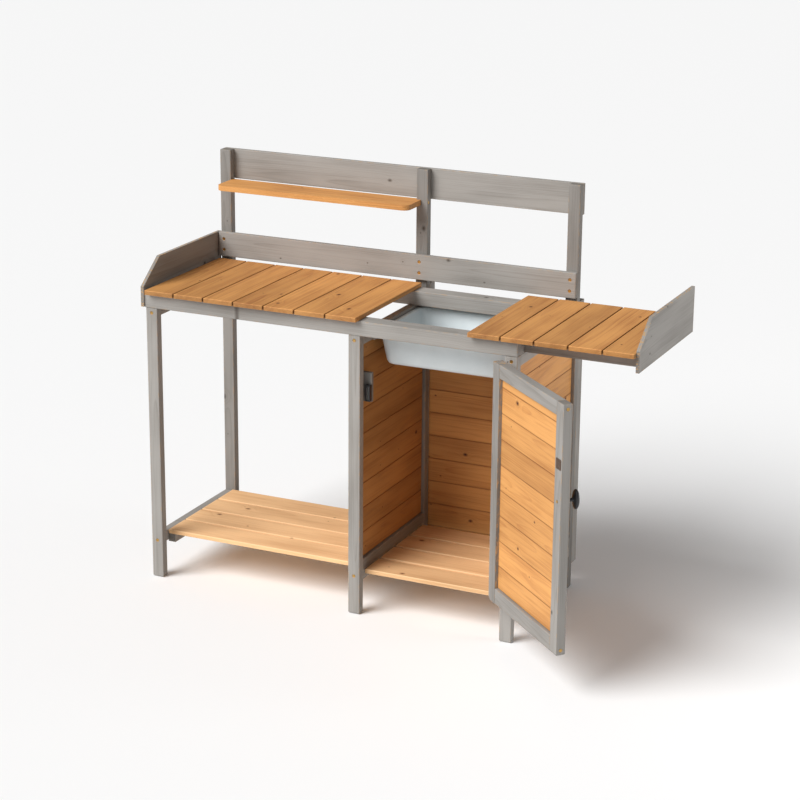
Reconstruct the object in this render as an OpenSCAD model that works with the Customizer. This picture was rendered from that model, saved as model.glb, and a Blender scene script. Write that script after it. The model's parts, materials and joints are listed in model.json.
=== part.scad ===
// Potting bench with an open bay, a cabinet with a hinged door, a basin and a sliding tabletop.
// It is drawn with its door open and its sliding top pulled out. Millimetres, +Z up, front towards -Y.

/* [Overall] */
// Clear width of the open bay, between the left and middle frames
bay_w = 601; // [450:1:800]
// Clear width of the cabinet, between the middle and right frames
cabinet_w = 424; // [330:1:560]
// Depth of the frame, from the front of the legs to the back of the posts
frame_d = 461; // [380:1:600]
// Height of the front legs
leg_h = 814; // [680:1:980]
// Height of the back posts
post_h = 1190; // [1120:1:1450]

/* [Frame timber] */
// Width of legs and posts, seen from the front
post_w = 35; // [28:1:45]
// Thickness of legs, posts and side rails
post_t = 24; // [18:1:30]
// Height of the side rails
rail_h = 30; // [24:1:36]
// Height of the front and back top rails
top_rail_h = 42; // [34:1:50]
// Depth of the front and back top rails
top_rail_d = 50; // [38:1:60]
// How far the front top rail stands proud of the legs
rail_proud = 2; // [0:0.5:5]
// How far the front and back top rails stand out past the left frame
rail_end_out = 3; // [0:0.5:6]
// Gap between the back top rail and the posts
rail_back_gap = 29; // [0:1:40]
// Underside of the bottom side rails above the ground
bottom_rail_z = 99; // [60:1:160]
// Eased edge along the timbers
ease = 2; // [0.5:0.5:3]
// Chamfer round the bottom end of each leg and post
foot_ease = 4; // [1:0.5:6]

/* [Tabletop] */
// Thickness of every slat
slat_t = 13; // [9:0.5:18]
// Gap between tabletop slats
slat_gap = 3.5; // [1:0.5:6]
// How far the slats overhang the front rail
slat_overhang = 20; // [5:1:30]
// How far the slats reach past the back rail
slat_back = 1; // [0:1:10]
// How far the fixed tabletop starts in from the left frame's outer face
fixed_top_in = 8.5; // [0:0.5:12]
// How much of the middle frame the fixed tabletop covers
top_over_middle = 32; // [10:1:32]
// Gap between the fixed tabletop and the closed sliding one
top_split_gap = 2.5; // [2:0.5:12]
// Running clearance of the sliding top above the rails
slide_clear = 1; // [0.5:0.5:2]
// Clearance between the closed sliding top's side panel and the right frame
slide_side_clear = 3.5; // [1:0.5:6]
// How much narrower the sliding top's last slat is
last_slat_trim = 6.5; // [0:0.5:20]
// How far the sliding top is pulled out
slide_out = 324; // [0:1:350]
// Clearance between the battens and the top rails
batten_clear = 2; // [1:0.5:4]

/* [Side panels] */
// Thickness of the two side panels
panel_t = 9.5; // [6:0.5:18]
// Height of the side panels
panel_h = 128; // [100:1:160]
// Height of the bevel on the front top corner
panel_cut_h = 70; // [30:1:80]
// Depth of the bevel on the front top corner
panel_cut_d = 92; // [30:1:140]
// How far the panels stand in front of the legs
panel_front = 6; // [2:1:20]

/* [Backboards and small shelf] */
// Height of the lower backboard
lower_board_h = 73; // [50:1:95]
// Thickness of the lower backboard
lower_board_t = 16; // [10:1:20]
// Underside of the lower backboard above the tabletop
lower_board_gap = 3; // [2:1:20]
// Height of the upper board
upper_board_h = 88; // [60:1:110]
// Thickness of the upper board
upper_board_t = 13; // [10:1:20]
// Depth of the small shelf in front of the posts
small_shelf_d = 90; // [60:1:130]
// How far the small shelf reaches back between the posts
small_shelf_back = 15; // [12:1:22]
// Thickness of the small shelf
small_shelf_t = 15; // [10:1:20]
// How far the small shelf laps the front of the middle post
small_shelf_lap = 14; // [8:1:25]
// Radius of the small shelf's front corners
small_shelf_r = 20; // [4:1:25]

/* [Floors] */
// Width of the floor slats
floor_slat_w = 91; // [60:1:96]
// Top of the open bay's shelf above the bottom rails
bay_floor_up = 3; // [0:1:8]
// Front edge of the open bay's shelf
bay_floor_y = 52; // [30:1:70]
// Front edge of the cabinet floor
cabinet_floor_y = 33; // [29:1:50]
// Back edge of the cabinet floor in front of the posts
cabinet_floor_back = 10; // [2:1:30]
// Drop of the cabinet floor below the bottom rails' top
cabinet_floor_drop = 2; // [0:1:8]
// Height and width of the floor cleats
cleat = 24; // [16:1:28]
// How far the cabinet floor's cleats start behind the floor's front edge
cabinet_cleat_in = 75; // [0:1:80]
// Clearance at the slats' ends
end_clear = 1; // [0.5:0.5:3]

/* [Boarding] */
// Thickness of the wall and back boards
board_t = 16; // [10:1:20]
// Height of the sills that the side walls' boards stand on
sill_h = 31; // [20:1:45]
// Covering width of one board of the side walls
wall_pitch = 72.5; // [50:0.5:100]
// Covering width of one board of the back
back_pitch = 70.5; // [50:0.5:100]
// Height of the lowest, trimmed board of the back
back_first_board = 15.5; // [10:0.5:70]
// Depth of the back panel's stiles
back_stile_d = 35; // [24:1:45]
// Width of the back panel's stiles
back_stile_w = 24; // [18:1:30]
// How far the back stiles reach below the bottom rails
back_stile_drop = 28; // [0:1:40]

/* [Basin] */
// Width of the basin's rim
basin_rim = 10; // [8:1:24]
// Depth of the basin
basin_depth = 94; // [60:1:130]
// Length of the basin from front to back, over its rim
basin_l = 325; // [240:1:370]
// Back edge of the basin's rim in front of the posts
basin_back = 36; // [20:1:60]
// Wall of the basin
basin_wall = 2.5; // [2:0.5:4]
// How far each wall leans in from rim to floor
basin_lean = 14; // [8:1:30]
// Corner radius of the basin
basin_r = 30; // [15:1:45]
// Drop of the basin's rim below the top of the side rails
basin_drop = 8; // [4:1:12]
// Thickness of the basin's rim
basin_rim_t = 3; // [2:0.5:4]
// Clearance between the basin's body and the cleats that carry its rim
basin_cleat_clear = 2; // [1:0.5:3]

/* [Door] */
// Gap between the door and the frame on each side
door_gap = 7; // [5:0.5:9]
// Gap above the door
door_top_gap = 10; // [4:1:16]
// Gap between the door and the cabinet floor
door_floor_gap = 6; // [4:1:16]
// Thickness of the door's frame
door_t = 26; // [20:1:32]
// Width of the door's stiles
door_stile_w = 38; // [28:1:50]
// Height of the door's top rail
door_top_rail = 37; // [28:1:50]
// Height of the door's bottom rail
door_bottom_rail = 44; // [28:1:60]
// Thickness of the door's boards
door_board_t = 13; // [9:1:16]
// Recess of the boards behind the door's outer face
door_board_in = 4; // [2:1:6]
// Covering width of one board of the door
door_pitch = 71.5; // [50:0.5:100]
// Height of the door's lowest, trimmed board
door_first_board = 65; // [20:1:71]
// Cut-off corner at the bottom of the hinge stile
door_corner_cut = 10; // [4:1:20]
// How far the door stands open
door_angle = 137.5; // [0:0.5:165]

/* [Hinges] */
// Height of each hinge
hinge_h = 50; // [36:1:70]
// Hinge centre from the end of the door
hinge_in = 95; // [60:1:130]
// Width of each hinge leaf
hinge_leaf_w = 20; // [14:1:22]
// Thickness of a hinge leaf
hinge_leaf_t = 1.5; // [1:0.1:2]
// Radius of the hinge barrel
hinge_r = 3.2; // [2.6:0.1:3.4]
// Radius of the hinge pin
hinge_pin_r = 1.6; // [1.2:0.1:1.8]
// Radial running clearance round the pin
hinge_clear = 0.05; // [0.02:0.01:0.1]
// Distance from the door's outer face out to the hinge axis
hinge_axis_out = 4; // [3.5:0.1:6]

/* [Knob and catch] */
// Height of the knob above the door's bottom
knob_z = 412; // [200:1:600]
// Height of the oval knob
knob_h = 54; // [36:1:70]
// Width of the oval knob
knob_w = 30; // [20:1:44]
// Thickness of the oval knob
knob_t = 14; // [8:1:20]
// Length of the knob's stem
knob_stem_l = 19; // [10:1:30]
// Radius of the knob's stem
knob_stem_r = 4.5; // [3:0.5:7]
// Height of the catch and its strike plate above the door's bottom
catch_z = 512; // [200:1:600]
// Height of the catch block
catch_block_h = 84; // [60:1:120]
// How far the catch block's middle stands above the catch's
catch_block_up = 15; // [0:1:18]
// Depth of the catch block
catch_block_d = 11; // [8:1:30]
// How far the catch block stands out past the middle frame
catch_block_w = 17; // [15:1:28]
// Height of the magnetic catch
catch_h = 46; // [36:1:60]
// Width of the magnetic catch
catch_w = 14; // [10:1:15]
// Depth of the magnetic catch
catch_d = 12; // [8:1:16]
// Side of the square strike plate
strike = 28; // [20:1:34]
// Strike plate's distance from the door's free edge
strike_in = 3; // [2:0.5:4]
// Thickness of the strike plate
strike_t = 1.2; // [0.8:0.1:2]
// Clearance between the strike plate and the magnetic catch
catch_clear = 0.4; // [0.2:0.1:1]

/* [Screws] */
// Radius of a screw head
screw_r = 3.6; // [2.5:0.1:4.5]
// Thickness of a screw head
screw_head_t = 1.6; // [1:0.1:2.5]
// Clearance round a screw head in its recess
screw_clear = 0.9; // [0.3:0.1:1.5]
// Depth of a screw's recess
screw_recess = 2.2; // [1.2:0.1:3]
// Distance of the door's edge screws from the ends of the stile
door_screw_in = 13; // [8:1:18]

/* [Hidden] */
$fn = 48;

grey = "#9a958d";
grey_dark = "#8a8680";
honey = "#d9924f";
honey_light = "#e3a763";
brass = "#c9a04a";
steel = "#b9bcc0";
black = "#1c1c1e";
tub = "#c3ccd2";

// Frame positions
middle_x = post_w + bay_w;
right_x = middle_x + post_w + cabinet_w;
frame_w = right_x + post_w;
post_y = frame_d - post_t;
frame_x = [0, middle_x, right_x];
rail_x = [0, middle_x + post_w - post_t, frame_w - post_t];
rail_l = post_y - post_t;

// Tabletop
table_z = leg_h + top_rail_h;
front_rail_y = -rail_proud;
back_rail_y = post_y - rail_back_gap - top_rail_d;
slat_y = front_rail_y - slat_overhang;
slat_l = back_rail_y + top_rail_d + slat_back - slat_y;
fixed_top_x = fixed_top_in;
fixed_top_w = middle_x + top_over_middle - fixed_top_x;
fixed_slats = 7;
fixed_slat_w = (fixed_top_w - (fixed_slats - 1) * slat_gap) / fixed_slats;
slide_closed_x = middle_x + top_over_middle + top_split_gap;
slide_w = frame_w + slide_side_clear - slide_closed_x;
slide_slats = 5;
slide_slat_w = (slide_w + last_slat_trim - (slide_slats - 1) * slat_gap) / slide_slats;
slide_x = slide_closed_x + slide_out;
slide_z = table_z + slide_clear;
batten_h = top_rail_h;
batten_y = [front_rail_y + top_rail_d + batten_clear, back_rail_y - batten_clear - post_t];

// Side panels
panel_z = leg_h + slide_clear + 1;
panel_l = post_y + panel_front + 3;

// Boards behind the tabletop
lower_board_z = table_z + slat_t + lower_board_gap;
lower_board_y = post_y - lower_board_t;
upper_board_z = post_h - upper_board_h;
small_shelf_z = upper_board_z - small_shelf_t;
small_shelf_l = bay_w + small_shelf_lap;

// Floors
bottom_rail_top = bottom_rail_z + rail_h;
wall_in = (post_w - board_t) / 2;
bay_floor_z = bottom_rail_top + bay_floor_up - slat_t;
bay_floor_x = post_t + end_clear;
bay_floor_l = middle_x + wall_in - end_clear / 2 - bay_floor_x;
floor_slats = 4;
bay_floor_gap = (post_y - bay_floor_y - floor_slats * floor_slat_w) / (floor_slats - 1);
cabinet_floor_z = bottom_rail_top - cabinet_floor_drop - slat_t;
cabinet_floor_x = middle_x + post_w + end_clear;
cabinet_floor_l = frame_w - post_t - end_clear - cabinet_floor_x;
cabinet_floor_d = post_y - cabinet_floor_back - cabinet_floor_y;
cabinet_floor_gap = (cabinet_floor_d - floor_slats * floor_slat_w) / (floor_slats - 1);
cleat_l = post_y - bay_floor_y;
cabinet_cleat_y = cabinet_floor_y + cabinet_cleat_in;
cabinet_cleat_l = cabinet_floor_d - cabinet_cleat_in;

// Boarding
wall_z = bottom_rail_top + sill_h;
wall_h = leg_h - rail_h - wall_z;
back_z = bottom_rail_z;
back_h = leg_h - back_z;
back_x = middle_x + post_w;
back_w = frame_w - back_stile_w - back_x;
back_board_y = frame_d + 2;
back_stile_z = bottom_rail_z - back_stile_drop;
back_stile_h = table_z - back_stile_z;
back_stile_x = [middle_x + post_w - back_stile_w, frame_w - back_stile_w];

// Basin, between the top side rails
basin_x = middle_x + post_w + end_clear;
basin_w = frame_w - post_t - end_clear - basin_x;
basin_y = post_y - basin_back - basin_l;
basin_top = leg_h - basin_drop;
basin_cleat_h = rail_h - basin_drop - basin_rim_t - end_clear;
basin_cleat_w = end_clear + basin_rim - basin_cleat_clear;

// Door, hinged at the front left corner of the right leg
door_w = cabinet_w - 2 * door_gap;
door_z = bottom_rail_top - cabinet_floor_drop + door_floor_gap;
door_h = leg_h - door_top_gap - door_z;
hinge_x = right_x - door_gap / 2;
hinge_y = -hinge_axis_out;
hinge_z = [door_z + hinge_in, door_z + door_h - hinge_in];
door_x = -door_gap / 2 - door_w;
door_board_h = door_h - door_top_rail - door_bottom_rail;
door_y = hinge_axis_out;
knuckle_gap = 0.3;
knuckle = (hinge_h - 2 * knuckle_gap) / 3;
catch_y = door_t + strike_t + catch_clear;

// Screws: heights of the rails' screws and their places on the boards
rail_screw_z = [bottom_rail_z + rail_h / 2, leg_h - rail_h / 2];
recess_r = screw_r + screw_clear;

// Middle of the whole bench as drawn, on the ground: the origin
door_edge_y = min(door_y * cos(door_angle), (door_y + door_t) * cos(door_angle));
door_reach_y = hinge_y + (door_x + ease) * sin(door_angle) + door_edge_y;
front_y = min(door_reach_y, slat_y);
back_y = frame_d + back_stile_d;
left_x = -rail_end_out - panel_t;
outer_x = slide_x + slide_w + panel_t;
centre_x = (left_x + outer_x) / 2;
centre_y = (front_y + back_y) / 2;

// ---------- shared shapes ----------

module at_origin() {
  translate([-centre_x, -centre_y, 0]) children();
}

// Section of a timber with its four long edges eased
module section(w, d, e = ease) {
  polygon([[e, 0], [w - e, 0], [w, e], [w, d - e], [w - e, d], [e, d], [0, d - e], [0, e]]);
}

module timber_x(l, d, h, e = ease) {
  rotate([90, 0, 90]) linear_extrude(l) section(d, h, e);
}

module timber_y(w, l, h, e = ease) {
  translate([0, l, 0]) rotate([90, 0, 0]) linear_extrude(l) section(w, h, e);
}

module timber_z(w, d, l, e = ease) {
  linear_extrude(l) section(w, d, e);
}

// Upright with a chamfer round its bottom end
module upright(h) {
  intersection() {
    timber_z(post_w, post_t, h);
    translate([0, post_t, 0]) rotate([90, 0, 0]) linear_extrude(post_t) foot_outline(post_w, h);
    rotate([90, 0, 90]) linear_extrude(post_w) foot_outline(post_t, h);
  }
}

module foot_outline(w, h) {
  polygon([[foot_ease, 0], [w - foot_ease, 0], [w, foot_ease], [w, h], [0, h], [0, foot_ease]]);
}

// Recess for a screw head in a face at z = 0 that looks along +Z
module recess() {
  translate([0, 0, -screw_recess]) cylinder(h = screw_recess + 1, r = recess_r);
}

// Screw head with a cross slot, at the bottom of its recess
module screw() {
  translate([0, 0, -screw_recess]) difference() {
    cylinder(h = screw_head_t, r = screw_r);
    for (a = [0, 90]) rotate([0, 0, a])
      translate([-screw_r * 0.55, -0.5, screw_head_t - 0.8]) cube([screw_r * 1.1, 1, 1]);
  }
}

// Children on every screw place of the front legs
module on_leg_screws() {
  for (z = rail_screw_z) translate([post_w / 2, 0, z]) rotate([90, 0, 0]) children();
}

// Children on every screw place on the back of the left post
module on_post_screws() {
  for (z = rail_screw_z) translate([post_w / 2, frame_d, z]) rotate([-90, 0, 0]) children();
}

// Children on the screw places that hold the small shelf's ends, on the two posts' far faces
module on_shelf_screws() {
  for (side = [-1, 1])
    translate([side < 0 ? 0 : middle_x + post_w, post_y + small_shelf_back / 2, small_shelf_z + small_shelf_t / 2])
      rotate([0, side * 90, 0]) children();
}

// Children on the two screw places in front of each post on the lower backboard
module on_lower_board_screws() {
  for (x = frame_x, s = [0.28, 0.72])
    translate([x + post_w / 2, lower_board_y, lower_board_z + s * lower_board_h])
      rotate([90, 0, 0]) children();
}

// Children on the two screw places behind each post on the upper board
module on_upper_board_screws() {
  for (x = frame_x, s = [0.25, 0.75])
    translate([x + post_w / 2, frame_d + upper_board_t, upper_board_z + s * upper_board_h])
      rotate([-90, 0, 0]) children();
}

// Children on the screw places of the door's two outer edges, in the closed door's frame
module on_door_edge_screws(free) {
  for (z = [door_z + door_screw_in, door_z + door_h - door_screw_in])
    translate([free ? door_x : -door_gap / 2, door_y + door_t / 2, z])
      rotate([0, free ? -90 : 90, 0]) children();
}

// Children moved from the closed door's frame, whose origin is the hinge axis, to the open door
module open_door() {
  at_origin() translate([hinge_x, hinge_y, 0]) rotate([0, 0, door_angle]) children();
}

// Boards laid edge to edge up a wall: the lowest is first high, the top one is cut to fit
module boards_x(l, d, h, first, pitch) {
  for (i = [0 : ceil((h - first) / pitch)]) {
    z0 = i == 0 ? 0 : first + (i - 1) * pitch;
    z1 = min(first + i * pitch, h);
    translate([0, 0, z0]) timber_x(l, d, z1 - z0, min(ease, (z1 - z0) / 4));
  }
}

module boards_y(l, d, h, pitch) {
  for (i = [0 : ceil(h / pitch) - 1]) {
    z0 = i * pitch;
    z1 = min(z0 + pitch, h);
    translate([0, 0, z0]) timber_y(d, l, z1 - z0, min(ease, (z1 - z0) / 4));
  }
}

// ---------- leg frames ----------

module leg(x) {
  color(grey) at_origin() translate([x, 0, 0]) difference() {
    upright(leg_h);
    on_leg_screws() recess();
  }
}

module post(x, screwed = false) {
  color(grey) at_origin() difference() {
    translate([x, post_y, 0]) upright(post_h);
    if (screwed) on_post_screws() recess();
    if (x < right_x) on_shelf_screws() recess();
  }
}

module left_leg() { leg(frame_x[0]); }
module middle_leg() { leg(frame_x[1]); }
module right_leg() { leg(frame_x[2]); }
module left_post() { post(frame_x[0], true); }
module middle_post() { post(frame_x[1]); }
module right_post() { post(frame_x[2]); }

module side_rail(x, z) {
  color(grey_dark) at_origin() translate([x, post_t, z]) timber_y(post_t, rail_l, rail_h);
}

module left_top_rail() { side_rail(rail_x[0], leg_h - rail_h); }
module middle_top_rail() { side_rail(rail_x[1], leg_h - rail_h); }
module right_top_rail() { side_rail(rail_x[2], leg_h - rail_h); }
module left_bottom_rail() { side_rail(rail_x[0], bottom_rail_z); }
module middle_bottom_rail() { side_rail(rail_x[1], bottom_rail_z); }
module right_bottom_rail() { side_rail(rail_x[2], bottom_rail_z); }

// Timbers on the two bottom rails beside the cabinet, under the wall boards
module wall_sills() {
  color(grey_dark) at_origin() for (i = [1, 2])
    translate([rail_x[i], post_t, bottom_rail_top]) timber_y(post_t, rail_l, sill_h);
}

// The long rails lie on the legs and side rails and carry the slats
module long_rail(y) {
  color(grey) at_origin() translate([-rail_end_out, y, leg_h])
    timber_x(frame_w + rail_end_out, top_rail_d, top_rail_h);
}

module front_rail() { long_rail(front_rail_y); }
module back_rail() { long_rail(back_rail_y); }

// ---------- boards and panels above the tabletop ----------

module lower_backboard() {
  color(grey) at_origin() difference() {
    translate([0, lower_board_y, lower_board_z]) timber_x(frame_w, lower_board_t, lower_board_h);
    on_lower_board_screws() recess();
  }
}

module upper_backboard() {
  color(grey) at_origin() difference() {
    translate([0, frame_d, upper_board_z]) timber_x(frame_w, upper_board_t, upper_board_h);
    on_upper_board_screws() recess();
  }
}

// Shelf board with rounded front corners; its back reaches in between the left and middle posts
module small_shelf() {
  color(honey) at_origin() translate([post_w, post_y - small_shelf_d, small_shelf_z])
    linear_extrude(small_shelf_t) union() {
      translate([small_shelf_r, 0]) square([small_shelf_l - 2 * small_shelf_r, small_shelf_d]);
      translate([0, small_shelf_r]) square([small_shelf_l, small_shelf_d - small_shelf_r]);
      for (x = [small_shelf_r, small_shelf_l - small_shelf_r])
        translate([x, small_shelf_r]) circle(small_shelf_r);
      translate([0, small_shelf_r]) square([bay_w, small_shelf_d - small_shelf_r + small_shelf_back]);
    }
}

// Side panel with a bevelled front top corner, its inner face at x
module side_panel(x, z) {
  color(grey) at_origin() translate([x, -panel_front, z]) rotate([90, 0, 90]) linear_extrude(panel_t)
    polygon([[0, 0], [panel_l, 0], [panel_l, panel_h], [panel_cut_d, panel_h], [0, panel_h - panel_cut_h]]);
}

module left_side_panel() { side_panel(left_x, panel_z); }
module slide_side_panel() { side_panel(slide_x + slide_w, panel_z); }

// ---------- tabletops ----------

module fixed_slat(i) {
  color(honey) at_origin()
    translate([fixed_top_x + i * (fixed_slat_w + slat_gap), slat_y, table_z])
      timber_y(fixed_slat_w, slat_l, slat_t);
}

module slide_slat(i) {
  trim = i == slide_slats - 1 ? last_slat_trim : 0;
  color(honey) at_origin()
    translate([slide_x + i * (slide_slat_w + slat_gap), slat_y, slide_z])
      timber_y(slide_slat_w - trim, slat_l, slat_t);
}

module slide_batten(y) {
  color(grey_dark) at_origin()
    translate([slide_x, y, leg_h + slide_clear]) timber_x(slide_w, post_t, batten_h);
}

module slide_front_batten() { slide_batten(batten_y[0]); }
module slide_back_batten() { slide_batten(batten_y[1]); }

// ---------- floors ----------

module bay_floor_slats() {
  color(honey_light) at_origin() for (i = [0 : floor_slats - 1])
    translate([bay_floor_x, bay_floor_y + i * (floor_slat_w + bay_floor_gap), bay_floor_z])
      timber_x(bay_floor_l, floor_slat_w, slat_t);
}

module cabinet_floor_slats() {
  color(honey_light) at_origin() for (i = [0 : floor_slats - 1])
    translate([cabinet_floor_x, cabinet_floor_y + i * (floor_slat_w + cabinet_floor_gap), cabinet_floor_z])
      timber_x(cabinet_floor_l, floor_slat_w, slat_t);
}

// Battens on the bottom rails that the floor slats lie on
module floor_cleats() {
  color(grey_dark) at_origin() {
    for (x = [post_t, middle_x + post_w - post_t - cleat])
      translate([x, bay_floor_y, bay_floor_z - cleat]) timber_y(cleat, cleat_l, cleat, 1);
    for (x = [middle_x + post_w, frame_w - post_t - cleat])
      translate([x, cabinet_cleat_y, cabinet_floor_z - cleat]) timber_y(cleat, cabinet_cleat_l, cleat, 1);
  }
}

// ---------- cabinet boarding ----------

module middle_wall_boards() {
  color(honey) at_origin() translate([middle_x + wall_in, post_t, wall_z])
    boards_y(rail_l, board_t, wall_h, wall_pitch);
}

module right_wall_boards() {
  color(honey) at_origin() translate([right_x + wall_in, post_t, wall_z])
    boards_y(rail_l, board_t, wall_h, wall_pitch);
}

module back_boards() {
  color(honey) at_origin() translate([back_x, back_board_y, back_z])
    boards_x(back_w, board_t, back_h, back_first_board, back_pitch);
}

module back_stiles() {
  color(grey_dark) at_origin() for (x = back_stile_x)
    translate([x, frame_d, back_stile_z]) timber_z(back_stile_w, back_stile_d, back_stile_h);
}

// ---------- basin ----------

// Rounded rectangle in the basin's plan, inset by d on every side
module basin_plan(d, h) {
  r = basin_r - min(d / 2, basin_r / 2);
  hull() for (x = [d + r, basin_w - d - r], y = [d + r, basin_l - d - r])
    translate([x, y, 0]) cylinder(h = h, r = r, $fn = 32);
}

// Tapered body from the floor plan up to the rim plan
module basin_body(inset, bottom, top) {
  lean = basin_lean * (top - bottom) / basin_depth;
  r_top = basin_r - inset / 2;
  hull() {
    for (x = [inset + r_top, basin_w - inset - r_top], y = [inset + r_top, basin_l - inset - r_top])
      translate([x, y, top - 0.1]) cylinder(h = 0.1, r = r_top, $fn = 32);
    for (x = [inset + lean + r_top, basin_w - inset - lean - r_top],
         y = [inset + lean + r_top, basin_l - inset - lean - r_top]) {
      translate([x, y, bottom]) cylinder(h = 0.1, r = r_top - 10, $fn = 32);
      translate([x, y, bottom + 10]) cylinder(h = 0.1, r = r_top - 1, $fn = 32);
    }
  }
}

module basin() {
  color(tub) at_origin() translate([basin_x, basin_y, basin_top - basin_depth]) difference() {
    union() {
      translate([0, 0, basin_depth - basin_rim_t]) basin_plan(0, basin_rim_t);
      basin_body(basin_rim, 0, basin_depth - 1);
    }
    basin_body(basin_rim + basin_wall, basin_wall, basin_depth + 1);
  }
}

module basin_cleats() {
  color(grey_dark) at_origin() for (x = [middle_x + post_w, frame_w - post_t - basin_cleat_w])
    translate([x, basin_y, basin_top - basin_rim_t - basin_cleat_h])
      timber_y(basin_cleat_w, basin_l, basin_cleat_h, 1);
}

// ---------- door ----------

module door_stile(x) {
  translate([x, door_y, door_z]) timber_z(door_stile_w, door_t, door_h);
}

module door_hinge_stile() {
  color(grey) open_door() difference() {
    door_stile(-door_gap / 2 - door_stile_w);
    translate([-door_gap / 2 - door_corner_cut, door_y + door_t + 1, door_z]) rotate([90, 0, 0])
      linear_extrude(door_t + 2)
        polygon([[-1, -1], [door_corner_cut + 1, -1], [door_corner_cut + 1, door_corner_cut + 1]]);
    on_door_edge_screws(false) recess();
    for (z = hinge_z) translate([-door_gap / 2 - hinge_leaf_t, door_y - 1, z - hinge_h / 2])
      cube([hinge_leaf_t + 1, hinge_leaf_w + 1, hinge_h]);
  }
}

module door_free_stile() {
  color(grey) open_door() difference() {
    door_stile(door_x);
    on_door_edge_screws(true) recess();
  }
}

module door_rail(z, h) {
  color(grey) open_door() translate([door_x + door_stile_w, door_y, z])
    timber_x(door_w - 2 * door_stile_w, door_t, h);
}

module door_top_rail_piece() { door_rail(door_z + door_h - door_top_rail, door_top_rail); }
module door_bottom_rail_piece() { door_rail(door_z, door_bottom_rail); }

module door_boards() {
  color(honey_light) open_door()
    translate([door_x + door_stile_w, door_y + door_board_in, door_z + door_bottom_rail])
      boards_x(door_w - 2 * door_stile_w, door_board_t, door_board_h, door_first_board, door_pitch);
}

// Oval knob on a stem, on the outer face of the free stile
module door_knob() {
  color(black) open_door() translate([door_x + door_stile_w / 2, door_y, door_z + knob_z]) {
    rotate([90, 0, 0]) cylinder(h = knob_stem_l + knob_t / 2, r = knob_stem_r);
    rotate([90, 0, 0]) cylinder(h = 3, r = knob_stem_r * 1.7);
    translate([0, -knob_stem_l - knob_t / 2, 0]) resize([knob_w, knob_t, knob_h]) sphere(r = 10, $fn = 28);
  }
}

module strike_plate() {
  color(steel) open_door()
    translate([door_x + strike_in, door_y + door_t, door_z + catch_z - strike / 2])
      cube([strike, strike_t, strike]);
}

// ---------- hinges ----------

// One leaf in a plane beside the pin: side is -1 towards the door, +1 towards the leg
module leaf(side) {
  x = side > 0 ? door_gap / 2 - hinge_leaf_t : -door_gap / 2 - hinge_leaf_t;
  translate([x, 0, -hinge_h / 2]) cube([hinge_leaf_t, hinge_axis_out + hinge_leaf_w, hinge_h]);
}

// Knuckle i of three, counted upwards, on the hinge axis
module knuckle_at(i) {
  translate([0, 0, -hinge_h / 2 + i * (knuckle + knuckle_gap)]) cylinder(h = knuckle, r = hinge_r);
}

// Web that joins a knuckle to its leaf
module web_at(i, side) {
  x0 = side > 0 ? 0 : -door_gap / 2;
  translate([x0, 0, -hinge_h / 2 + i * (knuckle + knuckle_gap)])
    cube([door_gap / 2, hinge_leaf_t, knuckle]);
}

module hinge_frame_leaves() {
  color(steel) at_origin() for (z = hinge_z) translate([hinge_x, hinge_y, z]) {
    difference() {
      leaf(1);
      translate([0, 0, -hinge_h / 2 + knuckle])
        cylinder(h = knuckle + 2 * knuckle_gap, r = hinge_r + knuckle_gap);
    }
    for (i = [0, 2]) {
      knuckle_at(i);
      web_at(i, 1);
    }
    translate([0, 0, -hinge_h / 2]) cylinder(h = hinge_h, r = hinge_pin_r);
  }
}

module hinge_door_leaves() {
  color(steel) at_origin() translate([hinge_x, hinge_y, 0]) rotate([0, 0, door_angle])
    for (z = hinge_z) translate([0, 0, z]) difference() {
      union() {
        difference() {
          leaf(-1);
          for (i = [0, 2]) translate([0, 0, -hinge_h / 2 + i * (knuckle + knuckle_gap) - knuckle_gap])
            cylinder(h = knuckle + 2 * knuckle_gap, r = hinge_r + knuckle_gap);
        }
        knuckle_at(1);
        web_at(1, -1);
      }
      translate([0, 0, -hinge_h / 2]) cylinder(h = hinge_h, r = hinge_pin_r + hinge_clear);
    }
}

// ---------- catch ----------

module catch_block() {
  z = door_z + catch_z + catch_block_up - catch_block_h / 2;
  color(grey_dark) at_origin() translate([middle_x + wall_in + board_t, catch_y + catch_d, z])
    timber_z(catch_block_w + post_w - wall_in - board_t, catch_block_d, catch_block_h, 1);
}

// Magnet housing with two steel pole strips that the strike plate meets
module magnetic_catch() {
  x = middle_x + post_w + catch_block_w - catch_w;
  color(black) at_origin() translate([x, catch_y, door_z + catch_z - catch_h / 2]) difference() {
    cube([catch_w, catch_d, catch_h]);
    translate([catch_w / 2 - 1, -1, 4]) cube([2, 3, catch_h - 8]);
  }
}

// ---------- screws ----------

module frame_screws() {
  color(brass) at_origin() {
    for (x = frame_x) translate([x, 0, 0]) on_leg_screws() screw();
    on_post_screws() screw();
    on_shelf_screws() screw();
    on_lower_board_screws() screw();
    on_upper_board_screws() screw();
  }
}

module door_screws() {
  color(brass) open_door() {
    on_door_edge_screws(true) screw();
    on_door_edge_screws(false) screw();
    translate([door_x + door_stile_w / 2, door_y + door_t, door_z + knob_z]) rotate([-90, 0, 0])
      cylinder(h = screw_head_t, r = screw_r);
  }
}

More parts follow.
